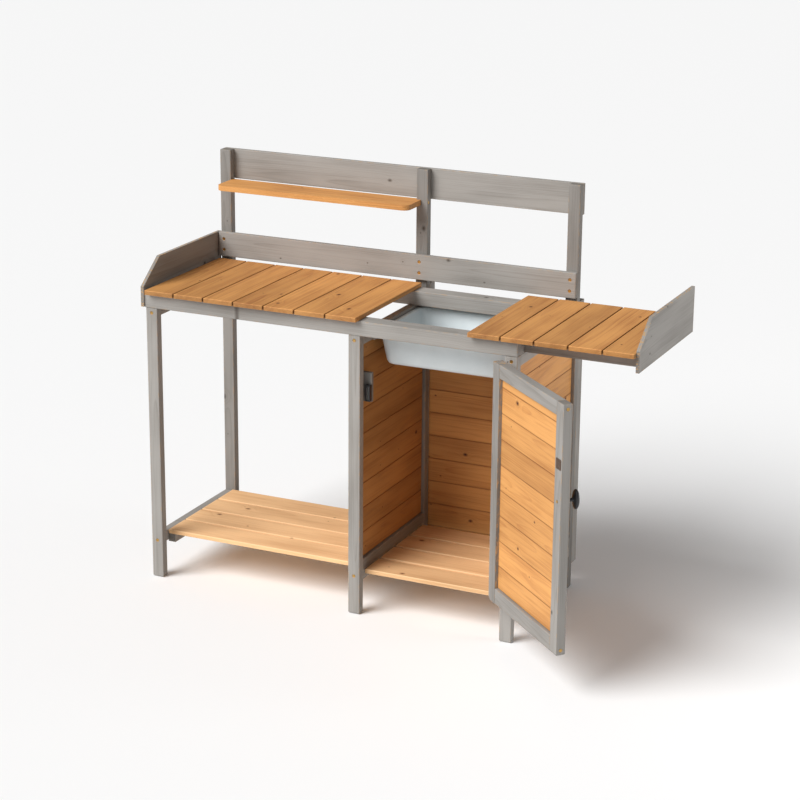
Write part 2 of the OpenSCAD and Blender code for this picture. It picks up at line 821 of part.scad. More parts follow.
left_leg();
middle_leg();
right_leg();
left_post();
middle_post();
right_post();
front_rail();
back_rail();
left_top_rail();
middle_top_rail();
right_top_rail();
left_bottom_rail();
middle_bottom_rail();
right_bottom_rail();
wall_sills();
lower_backboard();
upper_backboard();
small_shelf();
left_side_panel();
fixed_slat(0);  // fixed_slat_1
fixed_slat(1);  // fixed_slat_2
fixed_slat(2);  // fixed_slat_3
fixed_slat(3);  // fixed_slat_4
fixed_slat(4);  // fixed_slat_5
fixed_slat(5);  // fixed_slat_6
fixed_slat(6);  // fixed_slat_7
slide_slat(0);  // slide_slat_1
slide_slat(1);  // slide_slat_2
slide_slat(2);  // slide_slat_3
slide_slat(3);  // slide_slat_4
slide_slat(4);  // slide_slat_5
slide_front_batten();
slide_back_batten();
slide_side_panel();
bay_floor_slats();
cabinet_floor_slats();
floor_cleats();
middle_wall_boards();
right_wall_boards();
back_boards();
back_stiles();
basin();
basin_cleats();
door_hinge_stile();
door_free_stile();
door_top_rail_piece();
door_bottom_rail_piece();
door_boards();
door_knob();
strike_plate();
hinge_frame_leaves();
hinge_door_leaves();
catch_block();
magnetic_catch();
frame_screws();
door_screws();
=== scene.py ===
import json
import math
import random
import bmesh
import bpy
import numpy as np
from mathutils import Matrix, Vector


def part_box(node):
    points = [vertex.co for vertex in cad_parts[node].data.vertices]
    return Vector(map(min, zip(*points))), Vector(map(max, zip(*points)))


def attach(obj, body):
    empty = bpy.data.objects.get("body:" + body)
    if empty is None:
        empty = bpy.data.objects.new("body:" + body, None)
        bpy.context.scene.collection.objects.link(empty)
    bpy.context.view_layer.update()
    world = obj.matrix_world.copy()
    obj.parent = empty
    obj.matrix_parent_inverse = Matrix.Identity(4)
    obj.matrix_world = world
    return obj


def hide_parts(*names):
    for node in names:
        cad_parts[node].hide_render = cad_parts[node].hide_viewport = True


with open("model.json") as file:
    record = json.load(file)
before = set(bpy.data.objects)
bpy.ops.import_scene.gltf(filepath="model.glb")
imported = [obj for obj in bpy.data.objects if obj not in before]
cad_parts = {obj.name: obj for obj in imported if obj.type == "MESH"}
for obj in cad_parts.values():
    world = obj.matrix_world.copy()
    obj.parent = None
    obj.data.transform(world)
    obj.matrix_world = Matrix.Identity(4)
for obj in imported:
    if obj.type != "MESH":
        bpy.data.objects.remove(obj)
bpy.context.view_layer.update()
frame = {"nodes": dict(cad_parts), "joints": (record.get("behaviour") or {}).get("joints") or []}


# ---------------------------------------------------------------------------------------------
# Camera: a long lens standing to the right of the bench and above it, looking down on the
# worktop.

left_frame_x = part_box("left_leg")[0].x
leg_front_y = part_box("left_leg")[0].y
camera = bpy.data.objects.new("camera", bpy.data.cameras.new("camera"))
bpy.context.scene.collection.objects.link(camera)
bpy.context.scene.camera = camera
camera.data.sensor_width = 36.0
camera.data.lens = 100.48
camera.data.clip_end = 100.0
camera_yaw, camera_pitch, camera_roll = math.radians(24.79), math.radians(-17.41), math.radians(0.48)
camera.location = (left_frame_x + 3.2054, leg_front_y - 5.2261, 2.4548)
camera.rotation_mode = "XYZ"
camera.matrix_world = (
    Matrix.Translation(camera.location)
    @ Matrix.Rotation(camera_yaw, 4, "Z")
    @ Matrix.Rotation(math.pi / 2 + camera_pitch, 4, "X")
    @ Matrix.Rotation(camera_roll, 4, "Z")
)


# ---------------------------------------------------------------------------------------------
# Legs and posts: six planed fir uprights, 35 by 24 mm, stained grey. The brass-coloured screws
# that hold the side rails sit in countersinks whose torn rims show raw wood.

def linear(hex_colour):
    """An sRGB hex colour as the linear values that shaders take."""
    parts = [int(hex_colour[i : i + 2], 16) / 255 for i in (1, 3, 5)]
    return [c / 12.92 if c <= 0.04045 else ((c + 0.055) / 1.055) ** 2.4 for c in parts] + [1.0]


def add(tree, kind, inputs=None, **settings):
    """Adds one shader node with its settings. An input is a value, a socket to link from, or a
    node, whose first output is linked."""
    node = tree.nodes.new(kind)
    for name, value in settings.items():
        setattr(node, name, value)
    for socket, value in (inputs or {}).items():
        if isinstance(value, bpy.types.Node):
            value = value.outputs[0]
        if isinstance(value, bpy.types.NodeSocket):
            tree.links.new(value, node.inputs[socket])
        else:
            node.inputs[socket].default_value = value
    return node


def new_material(name, roughness):
    """An empty principled material."""
    material = bpy.data.materials.new(name)
    material.use_nodes = True
    tree = material.node_tree
    surface = tree.nodes["Principled BSDF"]
    surface.inputs["Roughness"].default_value = roughness
    return material, tree, surface


def fir(name, early, late, knot, bare, ring_depth, fibre_depth, wear, roughness, sheen_of_late):
    """Planed fir under a thin stain. early and late are the stained colours of the soft and the
    hard part of a growth ring. bare shows in spots along the edges: wood that has lost its stain,
    or stain that has pooled."""
    material, tree, surface = new_material(name, roughness)
    grain = add(tree, "ShaderNodeAttribute", attribute_name="grain").outputs["Vector"]
    tone = add(tree, "ShaderNodeAttribute", attribute_name="tone").outputs["Fac"]
    worn = add(tree, "ShaderNodeAttribute", attribute_name="worn").outputs["Fac"]
    ends = add(tree, "ShaderNodeAttribute", attribute_name="ends").outputs["Fac"]

    # The wood's unevenness: features per metre along, across and through the board, and detail.
    # Fibres are finer than this in real fir; they are drawn 1.6 mm wide so that they show.
    uneven = {}
    for what, stretch, detail in (
        ("ragged", (160, 160, 160), 1.0),
        ("wander", (2.2, 9, 9), 2.0),
        ("fibres", (9, 620, 620), 2.0),
        ("streaks", (2.2, 120, 120), 3.0),
        ("patches", (4, 16, 16), 2.0),
        ("chips", (55, 210, 210), 2.0),
    ):
        place = add(tree, "ShaderNodeVectorMath", {0: grain, 1: stretch}, operation="MULTIPLY")
        uneven[what] = add(tree, "ShaderNodeTexNoise", {"Vector": place, "Scale": 1.0, "Detail": detail})

    # Knots: a place every 130 mm along and 95 mm across, under half of them filled, 5 to 15 mm wide.
    # Each has a dark core, and the grain swirls round it.
    places = add(tree, "ShaderNodeVectorMath", {0: grain, 1: (7.5, 10.5, 0.0)}, operation="MULTIPLY")
    spots = add(tree, "ShaderNodeTexVoronoi", {"Vector": places, "Scale": 1.0}, voronoi_dimensions="2D")
    away = spots.outputs["Distance"]
    away = add(tree, "ShaderNodeMath", {0: uneven["ragged"], 1: 0.012, 2: away}, operation="MULTIPLY_ADD")
    kind = add(tree, "ShaderNodeSeparateColor", {"Color": spots.outputs["Color"]})
    filled = add(tree, "ShaderNodeMath", {0: kind.outputs[0], 1: 0.56}, operation="GREATER_THAN")
    size = add(tree, "ShaderNodeMath", {0: kind.outputs[1], 1: 2.0}, operation="POWER")
    size = add(tree, "ShaderNodeMath", {0: size, 1: 0.050, 2: 0.024}, operation="MULTIPLY_ADD")
    away = add(tree, "ShaderNodeMath", {0: away, 1: size}, operation="DIVIDE")
    core = add(tree, "ShaderNodeMath", {0: 1.35, 1: away}, operation="SUBTRACT", use_clamp=True)
    core = add(tree, "ShaderNodeMath", {0: core, 1: filled}, operation="MULTIPLY")
    swirl = add(tree, "ShaderNodeMath", {0: away, 1: 2.0}, operation="POWER")
    swirl = add(tree, "ShaderNodeMath", {0: swirl, 1: -0.16}, operation="MULTIPLY")
    swirl = add(tree, "ShaderNodeMath", {0: 2.718, 1: swirl}, operation="POWER")
    swirl = add(tree, "ShaderNodeMath", {0: swirl, 1: filled}, operation="MULTIPLY")

    # Growth rings 3.8 mm apart round the heart of the trunk, wandering a little along the board.
    ring_gap = 0.0038
    radius = add(tree, "ShaderNodeVectorMath", {0: grain, 1: (0, 1, 1)}, operation="MULTIPLY")
    radius = add(tree, "ShaderNodeVectorMath", {0: radius}, operation="LENGTH").outputs["Value"]
    radius = add(tree, "ShaderNodeMath", {0: uneven["wander"], 1: 0.014, 2: radius}, operation="MULTIPLY_ADD")
    radius = add(tree, "ShaderNodeMath", {0: swirl, 1: 0.009, 2: radius}, operation="MULTIPLY_ADD")
    radius = add(tree, "ShaderNodeMath", {0: radius, 1: 0.007}, operation="SUBTRACT")
    bunching = add(tree, "ShaderNodeMath", {0: radius, 1: 290.0}, operation="MULTIPLY")
    bunching = add(tree, "ShaderNodeMath", {0: bunching}, operation="SINE")
    bunching = add(tree, "ShaderNodeMath", {0: bunching, 1: 0.35}, operation="MULTIPLY")
    phase = add(tree, "ShaderNodeMath", {0: radius, 1: 1 / ring_gap, 2: bunching}, operation="MULTIPLY_ADD")
    phase = add(tree, "ShaderNodeMath", {0: phase}, operation="FRACT")
    late_wood = add(tree, "ShaderNodeValToRGB", {"Fac": phase})
    late_wood.color_ramp.elements[0].color = (0, 0, 0, 1)
    late_wood.color_ramp.elements[1].color = (0, 0, 0, 1)
    for stop, level in ((0.50, 0.10), (0.84, 0.60), (0.94, 1.0)):
        late_wood.color_ramp.elements.new(stop).color = (level, level, level, 1)

    # How far the colour goes from early to late wood: by ring, streak, patch and fibre.
    share = {0: late_wood, 1: ring_depth, 2: -0.414 - 1.3 * fibre_depth}
    for what, depth in (("streaks", 1.6 * fibre_depth), ("patches", 0.9), ("fibres", fibre_depth)):
        share = {0: uneven[what], 1: depth, 2: add(tree, "ShaderNodeMath", share, operation="MULTIPLY_ADD")}
    share = add(tree, "ShaderNodeMath", share, operation="MULTIPLY_ADD", use_clamp=True)
    colour = add(tree, "ShaderNodeMix", {0: share, 6: linear(early), 7: linear(late)}, data_type="RGBA")
    colour = add(tree, "ShaderNodeMix", {0: core, 6: colour.outputs[2], 7: linear(knot)}, data_type="RGBA")

    # Each board is as light as its tone says, less in patches, less on sawn ends, which drank more stain,
    # and less on faces in a gap, from stain run into it and from painted shade. Some parts' tones hold
    # painted shade as well.
    level = add(tree, "ShaderNodeMath", {0: uneven["patches"], 1: -0.30, 2: tone}, operation="MULTIPLY_ADD")
    level = add(tree, "ShaderNodeMath", {0: level, 1: 1.15}, operation="ADD")
    drunk_and_shaded = add(tree, "ShaderNodeMath", {0: ends, 1: -0.28, 2: 1.0}, operation="MULTIPLY_ADD")
    level = add(tree, "ShaderNodeMath", {0: level, 1: drunk_and_shaded}, operation="MULTIPLY")
    shaded = add(tree, "ShaderNodeVectorMath", {0: colour.outputs[2], "Scale": level}, operation="SCALE")

    # Edges lose their stain in spots, where handling and planing took it off.
    chips = {0: uneven["chips"], 1: 7.0, 2: -7.0 * (1.0 - wear)}
    rubbed = add(tree, "ShaderNodeMath", chips, operation="MULTIPLY_ADD", use_clamp=True)
    rubbed = add(tree, "ShaderNodeMath", {0: rubbed, 1: worn}, operation="MULTIPLY")
    final = add(tree, "ShaderNodeMix", {0: rubbed, 6: shaded.outputs[0], 7: linear(bare)}, data_type="RGBA")
    tree.links.new(final.outputs[2], surface.inputs["Base Color"])

    # Late wood is harder and takes a little more gloss; both it and the fibres stand proud.
    gloss = {0: late_wood, 1: -sheen_of_late, 2: roughness}
    gloss = {0: uneven["fibres"], 1: 0.10, 2: add(tree, "ShaderNodeMath", gloss, operation="MULTIPLY_ADD")}
    gloss = add(tree, "ShaderNodeMath", gloss, operation="MULTIPLY_ADD")
    tree.links.new(gloss.outputs[0], surface.inputs["Roughness"])
    height = add(tree, "ShaderNodeMath", {0: late_wood, 1: 0.5}, operation="MULTIPLY")
    height = add(tree, "ShaderNodeMath", {0: uneven["fibres"], 1: 0.8, 2: height}, operation="MULTIPLY_ADD")
    raised = add(tree, "ShaderNodeBump", {"Strength": 0.5, "Distance": 0.0003, "Height": height})
    tree.links.new(raised.outputs[0], surface.inputs["Normal"])
    surface.inputs["Specular IOR Level"].default_value = 0.35
    return material


# Water-based grey stain on planed fir: flat, slightly warm, with the hard rings showing darker.
grey_fir = fir(
    "fir planed grey stain", "#9a9691", "#77726b", "#544d46", "#b08f68",
    ring_depth=0.38, fibre_depth=0.46, wear=0.50, roughness=0.72, sheen_of_late=0.08,
)
# Where a tool has torn through the stain, the wood is pale and rough.
raw_fir = fir(
    "fir torn unstained", "#c9a884", "#a98058", "#8a6240", "#c9a884",
    ring_depth=0.5, fibre_depth=0.5, wear=0.3, roughness=0.85, sheen_of_late=0.0,
)

# What a face of a board is: planed, sawn across the grain, in the gap between two boards, or torn
# open by a countersink. The higher the number, the darker the face is drawn: a sawn end from the stain
# it drinks, a gap face from stain run down into the gap and from painted shade, the shade in the gap.
# A torn face has none: it is stored as planed, and takes the raw material.
PLANED, SAWN, SOAKED_AND_SHADED, TORN = 0.0, 1.0, 1.9, 2.0


def board(low, high, along, seed, ease=0.0016, foot=0.0, place=None, shade=0.0, tone_range=0.05,
          flat_sawn=0.045, soaked_and_shaded=()):
    """One planed board between two corners, its edges rounded by ease, with the place of each
    vertex in the tree it was cut from. Its last argument names the narrow sides, -1 and 1, that face a
    gap. They are drawn darker, from stain run into the gap and from painted shade, the shade in it."""
    rng = random.Random(seed)
    low, high = Vector(low), Vector(high)
    size = high - low
    axis = "XYZ".index(along)
    across, through = sorted((i for i in range(3) if i != axis), key=lambda i: -size[i])
    length, half_w, half_t = size[axis], size[across] / 2, size[through] / 2
    middle = (low + high) / 2
    right_handed = (axis, across, through) in ((0, 1, 2), (1, 2, 0), (2, 0, 1))

    def section(inset, radius):
        """Outline of the board's section: four rounded corners with a flat strip by each."""
        w, t = half_w - inset - radius, half_t - inset - radius
        strip = min(0.004, 0.45 * min(w, t))
        loop = []
        for quarter, (su, sv) in enumerate(((1, 1), (-1, 1), (-1, -1), (1, -1))):
            angles = [math.radians(quarter * 90 + step) for step in (0, 30, 60, 90)]
            round_part = [(math.cos(a), math.sin(a)) for a in angles]
            first, last = round_part[0], round_part[-1]
            u, v = su * w, sv * t
            loop.append((u + radius * first[0] - strip * last[0], v + radius * first[1] - strip * last[1]))
            loop += [(u + radius * c, v + radius * s) for c, s in round_part]
            loop.append((u + radius * last[0] - strip * first[0], v + radius * last[1] - strip * first[1]))
        return loop

    def end(chamfer):
        """Stations from the tip of an end inwards: distance, inset and corner radius."""
        if chamfer:
            half_way = (chamfer * 0.5, chamfer * 0.45, ease * 0.7)
            return [(0.0, chamfer, ease * 0.5), half_way, (chamfer, 0.0, ease)]
        steps = [(math.sin(a), math.cos(a)) for a in (math.radians(a) for a in (0, 30, 60, 90))]
        return [(ease * (1 - c), ease * (1 - s), max(ease * s, ease * 0.12)) for s, c in steps]

    start, finish = end(foot), end(0.0)
    stations = start + [(start[-1][0] + 0.004, 0.0, ease)]
    count = max(1, int(length / 0.1))
    stations += [(length * (i + 1) / (count + 1), 0.0, ease) for i in range(count)]
    stations += [(length - finish[-1][0] - 0.004, 0.0, ease)]
    stations += [(length - d, inset, radius) for d, inset, radius in reversed(finish)]

    points, faces, ends = [], [], []
    for x, inset, radius in stations:
        for u, v in section(inset, radius):
            point = [0.0, 0.0, 0.0]
            point[axis] = low[axis] + x
            point[across] = middle[across] + u
            point[through] = middle[through] + v
            points.append(point)
    around = 24
    # Strips of the section that lie on its high and on its low narrow side.
    narrow = {1: (22, 23, 0), -1: (10, 11, 12)}
    # The strips of a narrow side that faces a gap are drawn darker, as stain run into the gap and as painted
    # shade in it.
    soaked_and_shaded_strips = {k for side in soaked_and_shaded for k in narrow[side]}
    for s in range(len(stations) - 1):
        for k in range(around):
            a, b = s * around + k, s * around + (k + 1) % around
            faces.append((a, b, b + around, a + around))
            ends.append(SOAKED_AND_SHADED if k in soaked_and_shaded_strips else PLANED)
    faces.append(tuple(reversed(range(around))))
    faces.append(tuple(range((len(stations) - 1) * around, len(stations) * around)))
    ends += [SAWN, SAWN]
    if not right_handed:
        faces = [tuple(reversed(f)) for f in faces]

    turn_u, turn_v = rng.choice((-1, 1)), rng.choice((-1, 1))
    start_x, start_u = rng.uniform(0, 40), rng.uniform(-0.8, 0.8) * half_w
    start_v, slope = rng.uniform(0.4, 1.5) * flat_sawn, rng.uniform(-0.02, 0.02)
    return {
        "points": np.array(points), "faces": faces, "ends": ends, "place": place,
        "low": np.array(low), "high": np.array(high), "ease": ease,
        "order": (axis, across, through), "turn": (turn_u, turn_v),
        "start": (start_x, start_u, start_v + half_t, slope), "tone": shade + rng.uniform(-1, 1) * tone_range,
    }


def in_the_tree(cut, points):
    """Each point's place in the tree, and how close it is to an edge of the board."""
    axis, across, through = cut["order"]
    middle = (cut["low"] + cut["high"]) / 2
    x = points[:, axis] - cut["low"][axis]
    u = (points[:, across] - middle[across]) * cut["turn"][0]
    v = (points[:, through] - middle[through]) * cut["turn"][1]
    start_x, start_u, start_v, slope = cut["start"]
    grain = np.stack([x + start_x, u + start_u, v + start_v + slope * x], 1)
    nearest = np.sort(np.minimum(points - cut["low"], cut["high"] - points), 1)
    worn = 1 - np.clip(nearest[:, 1] / (1.3 * cut["ease"]), 0, 1)
    return grain, worn


def wooden(name, cuts, body, node, materials, screws=()):
    """Joins boards into one piece, drills its countersinks, and gives every vertex its grain."""
    points, faces, ends, grain, worn, tone, offset = [], [], [], [], [], [], 0
    for cut in cuts:
        own = cut["points"]
        own_faces, own_ends = cut["faces"], cut["ends"]
        if screws:
            own, own_faces, own_ends = drilled(own, own_faces, screws)
        g, w = in_the_tree(cut, own)
        if "worn" in cut:
            w = np.maximum(w, cut["worn"](own))
        if cut["place"] is not None:
            turn = np.array(cut["place"])
            own = own @ turn[:3, :3].T + turn[:3, 3]
        points.append(own)
        faces += [tuple(i + offset for i in f) for f in own_faces]
        ends += own_ends
        grain.append(g)
        worn.append(w)
        tone.append(np.full(len(own), cut["tone"]))
        offset += len(own)
    mesh = bpy.data.meshes.new(name)
    mesh.from_pydata(np.concatenate(points).tolist(), [], faces)
    for layer, kind, domain, field, values in (
        ("grain", "FLOAT_VECTOR", "POINT", "vector", np.concatenate(grain).ravel()),
        ("worn", "FLOAT", "POINT", "value", np.concatenate(worn)),
        ("tone", "FLOAT", "POINT", "value", np.concatenate(tone)),
        ("ends", "FLOAT", "FACE", "value", [PLANED if e == TORN else e for e in ends]),
    ):
        mesh.attributes.new(layer, kind, domain).data.foreach_set(field, values)
    for material in materials:
        mesh.materials.append(material)
    mesh.polygons.foreach_set("material_index", [1 if e == TORN else 0 for e in ends])
    mesh.polygons.foreach_set("use_smooth", [e == PLANED for e in ends])
    mesh.update()
    mesh.set_sharp_from_angle(angle=math.radians(40))
    return shown(name, mesh, body, node)


def shown(name, mesh, body, nodes):
    """Puts a finished mesh in the scene on its body, in place of its CAD nodes."""
    piece = bpy.data.objects.new(name, mesh)
    bpy.context.scene.collection.objects.link(piece)
    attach(piece, body)
    if nodes:
        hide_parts(*([nodes] if isinstance(nodes, str) else nodes))
    return piece


def drilled(points, faces, screws):
    """The board with a countersink cut for each screw, given as (point on the face, direction)."""
    solid = bpy.data.meshes.new("solid")
    solid.from_pydata(np.asarray(points).tolist(), [], faces)
    block = bpy.data.objects.new("solid", solid)
    bpy.context.scene.collection.objects.link(block)
    # The cutter is a cone 3 mm long that stands 0.6 mm out of the wood.
    sink_deep, sink_narrow, sink_wide, sink_middle = 0.0030, 0.0040, 0.0056, -0.0009
    cutter = bmesh.new()
    for place, way in screws:
        turn = Vector((0, 0, 1)).rotation_difference(Vector(way)).to_matrix().to_4x4()
        cone = Matrix.Translation(Vector(place)) @ turn @ Matrix.Translation((0, 0, sink_middle))
        bmesh.ops.create_cone(
            cutter, cap_ends=True, segments=20,
            radius1=sink_narrow, radius2=sink_wide, depth=sink_deep, matrix=cone,
        )
    drill = bpy.data.meshes.new("drill")
    cutter.to_mesh(drill)
    cutter.free()
    bit = bpy.data.objects.new("drill", drill)
    bpy.context.scene.collection.objects.link(bit)
    cut = block.modifiers.new("countersink", "BOOLEAN")
    cut.operation, cut.object, cut.solver = "DIFFERENCE", bit, "EXACT"
    result = bpy.data.meshes.new_from_object(block.evaluated_get(bpy.context.evaluated_depsgraph_get()))
    made = np.zeros(len(result.vertices) * 3)
    result.vertices.foreach_get("co", made)
    made = made.reshape(-1, 3)
    kept_faces = [tuple(p.vertices) for p in result.polygons]
    ends = []
    for p in result.polygons:
        offsets = [(p.center - Vector(place), Vector(way)) for place, way in screws]
        in_hole = any(d.length < sink_wide + 0.0006 and abs(d.dot(way)) > 1e-5 for d, way in offsets)
        sawn_across = p.area > 1e-4 and len(p.vertices) == 24
        ends.append(TORN if in_hole else SAWN if sawn_across else PLANED)
    bpy.data.objects.remove(block)
    bpy.data.objects.remove(bit)
    return made, kept_faces, ends


def screw_places(node):
    """The middle of each screw of a CAD group, taken from its loose parts."""
    split = bmesh.new()
    split.from_mesh(frame["nodes"][node].data)
    bmesh.ops.remove_doubles(split, verts=split.verts, dist=1e-6)
    seen, places = set(), []
    for start in split.verts:
        if start in seen:
            continue
        group, heap = [], [start]
        seen.add(start)
        while heap:
            v = heap.pop()
            group.append(v.co.copy())
            for edge in v.link_edges:
                other = edge.other_vert(v)
                if other not in seen:
                    seen.add(other)
                    heap.append(other)
        lowest = Vector([min(p[i] for p in group) for i in range(3)])
        highest = Vector([max(p[i] for p in group) for i in range(3)])
        places.append((lowest + highest) / 2)
    split.free()
    return places


frame_screw_places = screw_places("frame_screws")


def screws_on(node, way, face):
    """The frame's screws whose heads lie within this node's face, as places on that face."""
    low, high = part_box(node)
    axis = max(range(3), key=lambda i: abs(way[i]))
    held = []
    for centre in frame_screw_places:
        inside = all(low[i] - 1e-4 < centre[i] < high[i] + 1e-4 for i in range(3) if i != axis)
        if inside and abs(centre[axis] - face) < 0.004:
            spot = centre.copy()
            spot[axis] = face
            held.append((spot, way))
    return held


foot_chamfer = 0.004
for number, node in enumerate(("left_leg", "middle_leg", "right_leg")):
    low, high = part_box(node)
    holes = screws_on(node, (0, -1, 0), low.y)
    cut = board(low, high, "Z", 100 + number, foot=foot_chamfer, shade=0.02, flat_sawn=0.03)
    wooden(node + "_timber", [cut], "frame", node, [grey_fir, raw_fir], holes)
# The posts' tone of -0.22 draws them darker than the legs: painted shade, as they stand further back from the
# light.
for number, node in enumerate(("left_post", "middle_post", "right_post")):
    low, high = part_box(node)
    holes = screws_on(node, (0, 1, 0), high.y)
    holes += screws_on(node, (-1, 0, 0), low.x) + screws_on(node, (1, 0, 0), high.x)
    cut = board(low, high, "Z", 110 + number, foot=foot_chamfer, shade=-0.22, flat_sawn=0.03)
    wooden(node + "_timber", [cut], "frame", node, [grey_fir, raw_fir], holes)


# ---------------------------------------------------------------------------------------------
# Side rails and long rails: grey-stained battens. Three pairs of side rails join each leg to its
# post, and two long rails lie on them and carry the tabletop slats. On the two bottom rails beside
# the cupboard lie sills, which its wall boards stand on.

side_rails = [f"{side}_{level}_rail" for level in ("top", "bottom") for side in ("left", "middle", "right")]
for number, node in enumerate(side_rails):
    low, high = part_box(node)
    cut = board(low, high, "Y", 120 + number, flat_sawn=0.03)
    wooden(node + "_timber", [cut], "frame", node, [grey_fir, raw_fir])
low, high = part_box("wall_sills")
rail_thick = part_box("right_bottom_rail")[1].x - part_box("right_bottom_rail")[0].x
# The sills' tone of -0.3 draws them darker than the rails: painted shade, the shade low inside the cupboard.
sills = [
    board((x, low.y, low.z), (x + rail_thick, high.y, high.z), "Y", 135 + i, shade=-0.3, flat_sawn=0.03)
    for i, x in enumerate((low.x, high.x - rail_thick))
]
wooden("wall_sill_timbers", sills, "frame", "wall_sills", [grey_fir])
for number, node in enumerate(("front_rail", "back_rail")):
    low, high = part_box(node)
    cut = board(low, high, "X", 130 + number, ease=0.0020, shade=0.02)
    wooden(node + "_timber", [cut], "frame", node, [grey_fir, raw_fir])


# ---------------------------------------------------------------------------------------------
# Backboards: two wide grey-stained boards screwed across the posts, the lower one in front of
# them and the upper one behind.

for node, seed, way in (("lower_backboard", 141, -1), ("upper_backboard", 143, 1)):
    low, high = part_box(node)
    holes = screws_on(node, (0, way, 0), high.y if way > 0 else low.y)
    cut = board(low, high, "X", seed, shade=0.08)
    wooden(node + "_timber", [cut], "frame", node, [grey_fir, raw_fir], holes)


# ---------------------------------------------------------------------------------------------
# Small shelf: a honey-stained board with two rounded front corners. Its back reaches in between
# the left and middle posts, where a screw through each post holds its end, and its front right
# corner laps the middle post.

# Clear honey stain on planed fir: orange-brown, with the hard rings a shade redder.
honey_fir = fir(
    "fir planed honey stain", "#d09555", "#985529", "#4c2412", "#e2ad6c",
    ring_depth=0.38, fibre_depth=0.62, wear=0.38, roughness=0.60, sheen_of_late=0.12,
)


def sawn(outline, normal_axis, start, thickness, along, seed, ease=0.0014, place=None, shade=0.0,
         edge_wear=0.0):
    """A board sawn to an outline in one plane and eased all round. The outline runs anticlockwise
    in the two axes that follow normal_axis. edge_wear is how worn its rim is, from 0 to 1."""
    n = "XYZ".index(normal_axis)
    a, b = (n + 1) % 3, (n + 2) % 3
    block = bmesh.new()
    rims = []
    for depth in (start, start + thickness):
        rim = []
        for p, q in outline:
            point = [0.0, 0.0, 0.0]
            point[a], point[b], point[n] = p, q, depth
            rim.append(block.verts.new(point))
        rims.append(rim)
    block.faces.new(list(reversed(rims[0])))
    block.faces.new(rims[1])
    count = len(outline)
    for i in range(count):
        j = (i + 1) % count
        block.faces.new((rims[0][i], rims[0][j], rims[1][j], rims[1][i]))
    keep = [e for e in block.edges if e.calc_face_angle(0.0) > 0.6]
    bmesh.ops.bevel(
        block, geom=keep, offset=ease, segments=3, profile=0.5, affect="EDGES", clamp_overlap=True
    )
    # A strip 3 mm wide round both broad faces keeps the wear of the rim off them.
    broad = [f for f in block.faces if abs(f.normal[n]) > 0.99 and f.calc_area() > 1e-3]
    bmesh.ops.inset_individual(block, faces=broad, thickness=0.003, use_even_offset=True)
    block.verts.index_update()
    points = np.array([v.co[:] for v in block.verts])
    faces = [tuple(v.index for v in f.verts) for f in block.faces]
    block.normal_update()
    axis = "XYZ".index(along)
    ends = [SAWN if abs(f.normal[axis]) > 0.9 and f.calc_area() > 2e-5 else PLANED for f in block.faces]
    block.free()
    low, high = points.min(0), points.max(0)
    size = high - low
    across, through = sorted((i for i in range(3) if i != axis), key=lambda i: -size[i])
    rng = random.Random(seed)
    cut = {
        "points": points, "faces": faces, "ends": ends, "place": place,
        "low": low, "high": high, "ease": ease,
        "order": (axis, across, through), "turn": (1, rng.choice((-1, 1))),
        "start": tuple(rng.uniform(*span) for span in ((0, 40), (-0.02, 0.02), (0.02, 0.06), (-0.02, 0.02))),
        "tone": shade + rng.uniform(-0.03, 0.03),
    }
    if edge_wear:

        def on_rim(point):
            """edge_wear by the outline, and none away from it."""
            flat = np.array([point[a], point[b]])
            for i in range(count):
                corner, side = np.array(outline[i]), np.array(outline[(i + 1) % count]) - np.array(outline[i])
                t = np.clip(np.dot(flat - corner, side) / np.dot(side, side), 0, 1)
                if np.linalg.norm(flat - corner - t * side) < ease * 0.8:
                    return edge_wear
            return 0.0

        cut["worn"] = lambda own: np.array([on_rim(point) for point in own])
    return cut


low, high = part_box("small_shelf")
corner_round = 0.020
post_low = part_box("middle_post")[0]
turns = [math.radians(a) for a in (0, 22, 45, 68, 90)]
arc = [(corner_round * (1 - math.cos(a)), corner_round * (1 - math.sin(a))) for a in turns]
outline = [(low.x + less, low.y + more) for less, more in arc]
outline += [(high.x - more, low.y + less) for less, more in arc]
outline += [(high.x, post_low.y), (post_low.x, post_low.y), (post_low.x, high.y), (low.x, high.y)]
cut = sawn(outline, "Z", low.z, high.z - low.z, "X", 151)
wooden("small_shelf_board", [cut], "frame", "small_shelf", [honey_fir])


# ---------------------------------------------------------------------------------------------
# Side panels: thin grey-stained boards that stop pots rolling off, with a bevelled front corner.
# The left one is fixed to the frame and the right one travels with the sliding top.

cut_back, cut_down = 0.092, 0.070
# The panels' tone of -0.1 draws them a little darker: painted shade, the shade on the left panel's inner
# face.
for node, body, seed in (("left_side_panel", "frame", 160), ("slide_side_panel", "sliding_top", 161)):
    low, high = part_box(node)
    outline = [
        (low.y, low.z), (high.y, low.z), (high.y, high.z),
        (low.y + cut_back, high.z), (low.y, high.z - cut_down),
    ]
    panel = sawn(outline, "X", low.x, high.x - low.x, "Y", seed, shade=-0.1, edge_wear=0.9)
    wooden(node + "_board", [panel], body, node, [grey_fir])


# ---------------------------------------------------------------------------------------------
# Fixed tabletop: seven honey-stained slats laid from front to back with narrow gaps, fixed from
# underneath.

for number, shade in enumerate((-0.12, -0.14, -0.05, -0.10, 0.0, -0.06, 0.0), 1):
    node = f"fixed_slat_{number}"
    low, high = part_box(node)
    # The sides that face a gap between slats are drawn darker, as stain run into the gap and as painted
    # shade; the last slat's outer side is not.
    soaked_and_shaded = (-1, 1) if number < 7 else (-1,)
    cut = board(low, high, "Y", 170 + number, shade=shade, tone_range=0.02, soaked_and_shaded=soaked_and_shaded)
    wooden(node + "_board", [cut], "frame", node, [honey_fir])


# ---------------------------------------------------------------------------------------------
# Sliding tabletop: five slats on two grey battens that run on the side rails inside the long
# rails. Pulling it to the right uncovers the basin.

